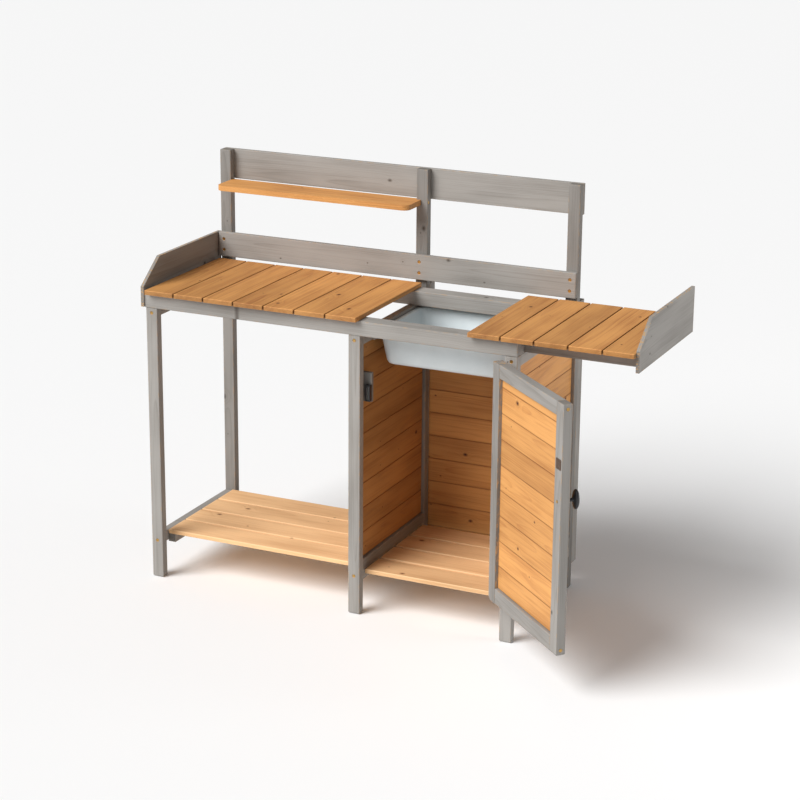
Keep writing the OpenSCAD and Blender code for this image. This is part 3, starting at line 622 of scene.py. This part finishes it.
for number, shade in enumerate((-0.10, -0.03, -0.12, 0.02, -0.06), 1):
    node = f"slide_slat_{number}"
    low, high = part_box(node)
    # The sides that face a gap between slats are drawn darker, as stain run into the gap and as painted
    # shade; the first slat's low side is not.
    soaked_and_shaded = (-1, 1) if number > 1 else (1,)
    cut = board(low, high, "Y", 180 + number, shade=shade, tone_range=0.02, soaked_and_shaded=soaked_and_shaded)
    wooden(node + "_board", [cut], "sliding_top", node, [honey_fir])
for number, node in enumerate(("slide_front_batten", "slide_back_batten")):
    low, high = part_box(node)
    cut = board(low, high, "X", 190 + number, shade=-0.03)
    wooden(node + "_timber", [cut], "sliding_top", node, [grey_fir, raw_fir])


# ---------------------------------------------------------------------------------------------
# Shelf of the open bay and floor of the cupboard: four honey-stained slats each, lying on grey
# cleats screwed to the bottom rails.

# The same stain on paler boards from the outside of the tree.
pale_fir = fir(
    "fir sapwood honey stain", "#e8bb8a", "#c68f5c", "#7a4a28", "#f0cc9c",
    ring_depth=0.30, fibre_depth=0.44, wear=0.80, roughness=0.60, sheen_of_late=0.12,
)

slat_wide = 0.091
for node, seed, shade in (("bay_floor_slats", 200, 0.04), ("cabinet_floor_slats", 210, 0.0)):
    low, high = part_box(node)
    step = (high.y - low.y - slat_wide) / 3
    slats = []
    for i in range(4):
        front = low.y + i * step
        corners = (low.x, front, low.z), (high.x, front + slat_wide, high.z)
        slats.append(board(*corners, "X", seed + i, ease=0.0020, shade=shade))
    wooden(node + "_boards", slats, "frame", node, [pale_fir])

# Two cleats under each floor; the cupboard's start 75 mm behind its floor's front edge.
cleat, cleat_back = 0.024, 0.075
low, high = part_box("floor_cleats")
bay_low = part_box("bay_floor_slats")[0]
cupboard_low, cupboard_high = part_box("cabinet_floor_slats")
middle_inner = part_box("middle_bottom_rail")[0].x
middle_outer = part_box("middle_leg")[1].x
bay_y, cupboard_y = (bay_low.y, high.y), (cupboard_low.y + cleat_back, cupboard_high.y)
bay_z, cupboard_z = bay_low.z - cleat, cupboard_low.z - cleat
cleats = [
    board((x, y0, z), (x + cleat, y1, z + cleat), "Y", 220 + i, ease=0.001)
    for i, (x, (y0, y1), z) in enumerate((
        (low.x, bay_y, bay_z),
        (middle_inner - cleat, bay_y, bay_z),
        (middle_outer, cupboard_y, cupboard_z),
        (high.x - cleat, cupboard_y, cupboard_z),
    ))
]
wooden("floor_cleat_timbers", cleats, "frame", "floor_cleats", [grey_fir])


# ---------------------------------------------------------------------------------------------
# Cupboard walls and back: honey-stained tongue-and-groove boards laid level, about 72 mm apart,
# with a small vee along each joint. The highest, and the back's lowest, are trimmed to fit.

# The stain has pooled along the joints of these boards and dried darker there.
jointed_fir = fir(
    "fir jointed honey stain", "#d69b5b", "#a3622e", "#4c2412", "#74421d",
    ring_depth=0.30, fibre_depth=0.62, wear=0.80, roughness=0.60, sheen_of_late=0.12,
)


def courses(low, high, first, board_step, along, seed, ease=0.0016, place=None, shade=0.0):
    """Boards edge to edge from the bottom of a wall to its top."""
    seams = [low[2]]
    level = low[2] + first
    while level < high[2] - 1e-4:
        seams.append(level)
        level += board_step
    seams.append(high[2])
    rng = random.Random(seed)
    boards = []
    for i, (z0, z1) in enumerate(zip(seams, seams[1:])):
        corners = (low[0], low[1], z0), (high[0], high[1], z1)
        own_ease, own_shade = min(ease, (z1 - z0) / 4), shade + rng.uniform(-0.10, 0.10)
        boards.append(board(*corners, along, seed + i, ease=own_ease, place=place, shade=own_shade))
    return boards


# The height of each wall's lowest board and the covering width of the others.
for node, seed, first, board_step, along, shade in (
    # The middle wall's tone of -0.45 draws its boards much darker than the others: painted shade, the shade
    # inside the cupboard.
    ("middle_wall_boards", 230, 0.0725, 0.0725, "Y", -0.45),
    ("right_wall_boards", 250, 0.0725, 0.0725, "Y", 0.0),
    ("back_boards", 270, 0.0155, 0.0705, "X", -0.08),
):
    low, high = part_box(node)
    boards = courses(low, high, first, board_step, along, seed, shade=shade)
    wooden(node + "_courses", boards, "frame", node, [jointed_fir])
low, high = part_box("back_stiles")
back_stile = 0.024
stiles = [
    board((x, low.y, low.z), (x + back_stile, high.y, high.z), "Z", 290 + i)
    for i, x in enumerate((low.x, high.x - back_stile))
]
wooden("back_stile_timbers", stiles, "frame", "back_stiles", [grey_fir])


# ---------------------------------------------------------------------------------------------
# Basin: a pale blue-grey tub moulded in polypropylene with a flat rim, dropped between two
# cleats under the worktop. Moulding leaves a satin skin with a faint mottle.

def mottled(name, one, other, roughness, scale, detail, metallic=0.0):
    """A material whose colour drifts between two, in clouds 1 / scale metres across."""
    material, tree, surface = new_material(name, roughness)
    surface.inputs["Metallic"].default_value = metallic
    place = add(tree, "ShaderNodeTexCoord").outputs["Object"]
    clouds = add(tree, "ShaderNodeTexNoise", {"Vector": place, "Scale": scale, "Detail": detail})
    tint = add(tree, "ShaderNodeMix", {0: clouds, 6: linear(one), 7: linear(other)}, data_type="RGBA")
    tree.links.new(tint.outputs[2], surface.inputs["Base Color"])
    return material


def grained(material, scale, detail, strength):
    """Gives a moulding's skin a fine grain, 1 / scale metres across, and returns its surface."""
    tree = material.node_tree
    surface = tree.nodes["Principled BSDF"]
    place = add(tree, "ShaderNodeTexCoord").outputs["Object"]
    skin = add(tree, "ShaderNodeTexNoise", {"Vector": place, "Scale": scale, "Detail": detail})
    fine = add(tree, "ShaderNodeBump", {"Strength": strength, "Distance": 0.0002, "Height": skin})
    tree.links.new(fine.outputs[0], surface.inputs["Normal"])
    return surface


# The mottle is about 45 mm across, and the skin has a grain of 1.1 mm, coarser than the real one.
tub_plastic = mottled("polypropylene moulded satin", "#c8d1d4", "#dae1e3", 0.42, 22.0, 3.0)
grained(tub_plastic, 900.0, 2.0, 0.25).inputs["IOR"].default_value = 1.49

low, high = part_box("basin")
tub_middle = ((low.x + high.x) / 2, (low.y + high.y) / 2)
tub_half = ((high.x - low.x) / 2, (high.y - low.y) / 2)
tub_depth = high.z - low.z
wall = 0.0025
rim = 0.010
lean = 0.014
# From the middle of the inside, up and over the rim, and down the outside to the middle below:
# inset from the rim's edge, height above the rim, corner radius.
inner, foot_inner, foot_outer, bottom = rim + wall, rim + wall + lean, rim + lean, -tub_depth
profile = [
    (foot_inner + 0.060, bottom + wall, 0.010),
    (foot_inner + 0.012, bottom + wall, 0.022),
    (foot_inner + 0.0045, bottom + wall + 0.0022, 0.027),
    (foot_inner, bottom + wall + 0.009, 0.029),
    (inner + lean * 0.5, bottom * 0.5, 0.029),
    (inner + 0.0015, -0.006, 0.029),
    (inner + 0.0004, -0.0022, 0.029),
    (inner - 0.0016, -0.0004, 0.030),
    (inner - 0.003, 0.0, 0.030),
    (0.0022, 0.0, 0.030),
    (0.0006, -0.0006, 0.030),
    (0.0, -0.0018, 0.030),
    (0.0002, -0.003, 0.030),
    (0.002, -0.003, 0.030),
    (rim - 0.001, -0.003, 0.029),
    (rim + 0.0006, -0.0045, 0.029),
    (rim + lean * 0.5, bottom * 0.5, 0.029),
    (foot_outer - 0.001, bottom + 0.010, 0.029),
    (foot_outer + 0.003, bottom + 0.003, 0.027),
    (foot_outer + 0.011, bottom, 0.022),
    (foot_outer + 0.060, bottom, 0.010),
]
arc_steps = 9
tub = bmesh.new()
loops = []
for inset, drop, radius in profile:
    loop = []
    for su, sv, first in ((1, 1, 0), (-1, 1, 90), (-1, -1, 180), (1, -1, 270)):
        for step in range(arc_steps):
            a = math.radians(first + 90 * step / (arc_steps - 1))
            x = tub_middle[0] + su * (tub_half[0] - inset - radius) + radius * math.cos(a)
            y = tub_middle[1] + sv * (tub_half[1] - inset - radius) + radius * math.sin(a)
            loop.append(tub.verts.new((x, y, high.z + drop)))
    loops.append(loop)
for inner_loop, outer_loop in zip(loops, loops[1:]):
    for i in range(len(inner_loop)):
        j = (i + 1) % len(inner_loop)
        tub.faces.new((inner_loop[i], outer_loop[i], outer_loop[j], inner_loop[j]))
tub.faces.new(loops[0])
tub.faces.new(list(reversed(loops[-1])))
tub.normal_update()
bmesh.ops.recalc_face_normals(tub, faces=tub.faces)
tub_mesh = bpy.data.meshes.new("basin_tub")
tub.to_mesh(tub_mesh)
tub_mesh.materials.append(tub_plastic)
tub_mesh.shade_smooth()
tub_mesh.set_sharp_from_angle(angle=math.radians(50))
shown("basin_tub", tub_mesh, "frame", "basin")

low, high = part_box("basin_cleats")
carrier = 0.009
carriers = [
    board((x, low.y, low.z), (x + carrier, high.y, high.z), "Y", 300 + i, ease=0.001)
    for i, x in enumerate((low.x, high.x - carrier))
]
wooden("basin_cleat_timbers", carriers, "frame", "basin_cleats", [grey_fir])


# ---------------------------------------------------------------------------------------------
# Door: two full-height grey stiles and two rails round a panel of level honey-stained boards.
# It is drawn closed, with the hinge pin at the origin, and turned to where it stands open.

hinge = next(j for j in frame["joints"] if j["name"] == "door_hinge")
door_open = math.radians(-hinge["range_deg"][0])
pin = Matrix.Translation((hinge["pos_m"][0], hinge["pos_m"][1], 0))
door_place = pin @ Matrix.Rotation(door_open, 4, "Z")
door_low_z, door_high_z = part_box("door_free_stile")[0].z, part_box("door_free_stile")[1].z
door_edge, door_width, door_front, door_thick = -0.0035, 0.410, 0.004, 0.026
stile_wide, top_rail_high, bottom_rail_high = 0.038, 0.037, 0.044
door_far, door_back = door_edge - door_width, door_front + door_thick
boards_from, boards_to = door_far + stile_wide, door_edge - stile_wide

screw_in = 0.013
screw_y, screw_heights = door_front + door_thick / 2, (door_low_z + screw_in, door_high_z - screw_in)
free_edge_screws = [(Vector((door_far, screw_y, z)), (-1, 0, 0)) for z in screw_heights]
hinge_edge_screws = [(Vector((door_edge, screw_y, z)), (1, 0, 0)) for z in screw_heights]
stile_low, stile_high = (door_far, door_front, door_low_z), (boards_from, door_back, door_high_z)
cut = board(stile_low, stile_high, "Z", 310, shade=-0.14, place=door_place)
grey_and_raw = [grey_fir, raw_fir]
wooden("door_free_stile_timber", [cut], "door", "door_free_stile", grey_and_raw, free_edge_screws)
corner_cut = 0.010
outline = [
    (door_low_z, boards_to), (door_low_z, door_edge - corner_cut), (door_low_z + corner_cut, door_edge),
    (door_high_z, door_edge), (door_high_z, boards_to),
]
cut = sawn(outline, "Y", door_front, door_thick, "Z", 311, ease=0.0016, shade=-0.20, place=door_place)
wooden("door_hinge_stile_timber", [cut], "door", "door_hinge_stile", grey_and_raw, hinge_edge_screws)
for node, z0, z1, seed in (
    ("door_top_rail_piece", door_high_z - top_rail_high, door_high_z, 312),
    ("door_bottom_rail_piece", door_low_z, door_low_z + bottom_rail_high, 313),
):
    rail_low, rail_high = (boards_from, door_front, z0), (boards_to, door_back, z1)
    cut = board(rail_low, rail_high, "X", seed, shade=-0.14, place=door_place)
    wooden(node + "_timber", [cut], "door", node, grey_and_raw)
# The boards' faces lie 4 mm behind the frame's front and 9 mm before its back.
panel_low = (boards_from, door_front + 0.004, door_low_z + bottom_rail_high)
panel_high = (boards_to, door_front + 0.017, door_high_z - top_rail_high)
first_board, board_step = 0.065, 0.0715
boards = courses(panel_low, panel_high, first_board, board_step, "X", 320, place=door_place, shade=-0.05)
wooden("door_board_courses", boards, "door", "door_boards", [jointed_fir])


# ---------------------------------------------------------------------------------------------
# Screws: brass-coloured cross-head screws, sunk in the frame and in the door's edges. The zinc
# passivated steel is yellow and a little dull.

# The passivation is cloudy, in spots of 1.4 mm.
brass_steel = mottled("steel yellow passivated", "#b8904a", "#e0bd78", 0.38, 700.0, 2.0, metallic=1.0)
for node in ("frame_screws", "door_screws"):
    for slot in frame["nodes"][node].material_slots:
        slot.material = brass_steel


# ---------------------------------------------------------------------------------------------
# Knob: an oval knob moulded in black nylon on a round stem, screwed through the free stile from
# inside. The moulding is glossy, with a light grain.

# The mould's texture is a pebble of 0.7 mm, coarser than the real one.
black_nylon = mottled("nylon moulded black", "#1a1a1c", "#2b2b2e", 0.34, 1400.0, 1.0)
grained(black_nylon, 1400.0, 1.0, 0.2)

knob_x, knob_z = door_far + stile_wide / 2, door_low_z + 0.412
knob = bmesh.new()
# Rings from the door outwards: distance from the door, half width and half height.
rings = (
    (0.0, 0.0076, 0.0076),
    (0.0024, 0.0076, 0.0076),
    (0.0032, 0.0066, 0.0066),
    (0.0040, 0.0047, 0.0047),
    (0.0125, 0.0045, 0.0045),
    (0.0165, 0.0050, 0.0058),
    (0.0192, 0.0082, 0.0135),
    (0.0208, 0.0120, 0.0212),
    (0.0228, 0.0143, 0.0256),
    (0.0256, 0.0150, 0.0270),
    (0.0284, 0.0144, 0.0259),
    (0.0307, 0.0122, 0.0220),
    (0.0322, 0.0086, 0.0152),
    (0.0329, 0.0040, 0.0070),
)
round_the_knob = [(math.cos(math.radians(a)), math.sin(math.radians(a))) for a in range(0, 360, 12)]
knob_loops = [
    [knob.verts.new((knob_x + wide * c, door_front - out, knob_z + tall * s)) for c, s in round_the_knob]
    for out, wide, tall in rings
]
count = len(round_the_knob)
for inner_loop, outer_loop in zip(knob_loops, knob_loops[1:]):
    for i in range(count):
        j = (i + 1) % count
        knob.faces.new((inner_loop[i], inner_loop[j], outer_loop[j], outer_loop[i]))
knob.faces.new(knob_loops[0])
knob.faces.new(knob_loops[-1])
bmesh.ops.recalc_face_normals(knob, faces=knob.faces)
bmesh.ops.transform(knob, matrix=door_place, verts=knob.verts)
knob_mesh = bpy.data.meshes.new("door_knob_moulding")
knob.to_mesh(knob_mesh)
knob_mesh.materials.append(black_nylon)
knob_mesh.shade_smooth()
knob_mesh.set_sharp_from_angle(angle=math.radians(60))
shown("door_knob_moulding", knob_mesh, "door", "door_knob")


# ---------------------------------------------------------------------------------------------
# Hinges: two zinc-plated butt hinges between the door's edge and the right leg. The plating is
# dull, with a soft spangle.

# The spangle is about 4 mm across.
zinc = mottled("steel zinc plated", "#9c9a94", "#c9c7c0", 0.42, 260.0, 2.0, metallic=1.0)
for node in ("hinge_frame_leaves", "hinge_door_leaves"):
    for slot in frame["nodes"][node].material_slots:
        slot.material = zinc


# ---------------------------------------------------------------------------------------------
# Catch: a grey block beside the middle leg carries a black magnetic catch, which meets a square
# steel plate on the inside of the door's free stile. The plate has browned in the air.

low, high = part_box("catch_block")
# The block's tone of -0.4 draws it darker: painted shade, as it stands in the shade behind the middle leg.
cut = board(low, high, "Z", 330, ease=0.001, shade=-0.4)
wooden("catch_block_timber", [cut], "frame", "catch_block", [grey_fir])
for slot in frame["nodes"]["magnetic_catch"].material_slots:
    slot.material = black_nylon

# Two steel pole strips stand in the catch's front, either side of the magnet.
low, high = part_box("magnetic_catch")
strip_apart, strip_wide, strip_deep, strip_short = 0.0034, 0.0012, 0.0075, 0.010
poles = bmesh.new()
for side in (-1, 1):
    middle_x = (low.x + high.x) / 2 + side * strip_apart / 2
    middle = (middle_x, low.y + strip_deep / 2 - 0.0001, (low.z + high.z) / 2)
    made = bmesh.ops.create_cube(poles, size=1.0)["verts"]
    bmesh.ops.scale(poles, vec=(strip_wide, strip_deep, high.z - low.z - strip_short), verts=made)
    bmesh.ops.translate(poles, vec=middle, verts=made)
bmesh.ops.bevel(poles, geom=poles.edges, offset=0.0003, segments=2, affect="EDGES")
poles_mesh = bpy.data.meshes.new("catch_pole_strips")
poles.to_mesh(poles_mesh)
poles_mesh.materials.append(zinc)
shown("catch_pole_strips", poles_mesh, "frame", None)

# The browning is in clouds of 6 mm.
browned = mottled("steel browned sheet", "#54453c", "#8a776a", 0.45, 160.0, 3.0, metallic=0.9)
plate_half, plate_round, plate_thick, plate_in = 0.014, 0.003, 0.0012, 0.003
plate_x, plate_z = door_far + plate_in + plate_half, door_low_z + 0.512
strike = bmesh.new()
outline = []
for su, sv, first in ((1, 1, 0), (-1, 1, 90), (-1, -1, 180), (1, -1, 270)):
    for a in (math.radians(first + step) for step in (0, 30, 60, 90)):
        x = plate_x + su * (plate_half - plate_round) + plate_round * math.cos(a)
        outline.append((x, plate_z + sv * (plate_half - plate_round) + plate_round * math.sin(a)))
sides = [[strike.verts.new((x, y, z)) for x, z in outline] for y in (door_back, door_back + plate_thick)]
strike.faces.new(sides[0])
strike.faces.new(list(reversed(sides[1])))
for i in range(len(outline)):
    j = (i + 1) % len(outline)
    strike.faces.new((sides[0][i], sides[1][i], sides[1][j], sides[0][j]))
bmesh.ops.recalc_face_normals(strike, faces=strike.faces)
for up in (-0.0075, 0.0075):
    head = Matrix.Translation((plate_x, door_back + 0.0011, plate_z + up))
    head = head @ Matrix.Rotation(-math.pi / 2, 4, "X")
    bmesh.ops.create_cone(
        strike, cap_ends=True, segments=20, radius1=0.0030, radius2=0.0018, depth=0.0010, matrix=head
    )
bmesh.ops.transform(strike, matrix=door_place, verts=strike.verts)
strike_mesh = bpy.data.meshes.new("strike_plate_sheet")
strike.to_mesh(strike_mesh)
strike_mesh.materials.append(browned)
shown("strike_plate_sheet", strike_mesh, "door", "strike_plate")


# ---------------------------------------------------------------------------------------------
# Floor and lights: a plain pale floor, a soft key from the front left and above, a weak soft box
# two metres to the right of the bench, and an even white room.

floor_mesh = bpy.data.meshes.new("floor")
floor_mesh.from_pydata([(-30, -30, 0), (30, -30, 0), (30, 30, 0), (-30, 30, 0)], [], [(0, 1, 2, 3)])
floor = bpy.data.objects.new("floor", floor_mesh)
bpy.context.scene.collection.objects.link(floor)
floor_paint, tree, surface = new_material("floor painted pale", 0.9)
surface.inputs["Base Color"].default_value = linear("#f4f4f4")
floor_mesh.materials.append(floor_paint)

room = bpy.data.worlds.new("room")
bpy.context.scene.world = room
room.use_nodes = True
room.node_tree.nodes["Background"].inputs["Color"].default_value = linear("#ffffff")
room.node_tree.nodes["Background"].inputs["Strength"].default_value = 0.27

key = bpy.data.objects.new("key", bpy.data.lights.new("key", "SUN"))
bpy.context.scene.collection.objects.link(key)
key.data.energy = 3.7
key.data.angle = math.radians(40)
key.rotation_euler = Vector((0.42, 0.62, -0.66)).to_track_quat("-Z", "Y").to_euler()
side = bpy.data.objects.new("side", bpy.data.lights.new("side", "AREA"))
bpy.context.scene.collection.objects.link(side)
side.data.shape, side.data.size, side.data.energy = "SQUARE", 0.8, 14.0
side.location = (2.7, 0.55, 0.6)
side.rotation_euler = Vector((-2.2, -0.5, -0.1)).to_track_quat("-Z", "Y").to_euler()
bpy.context.scene.view_settings.view_transform = "Standard"
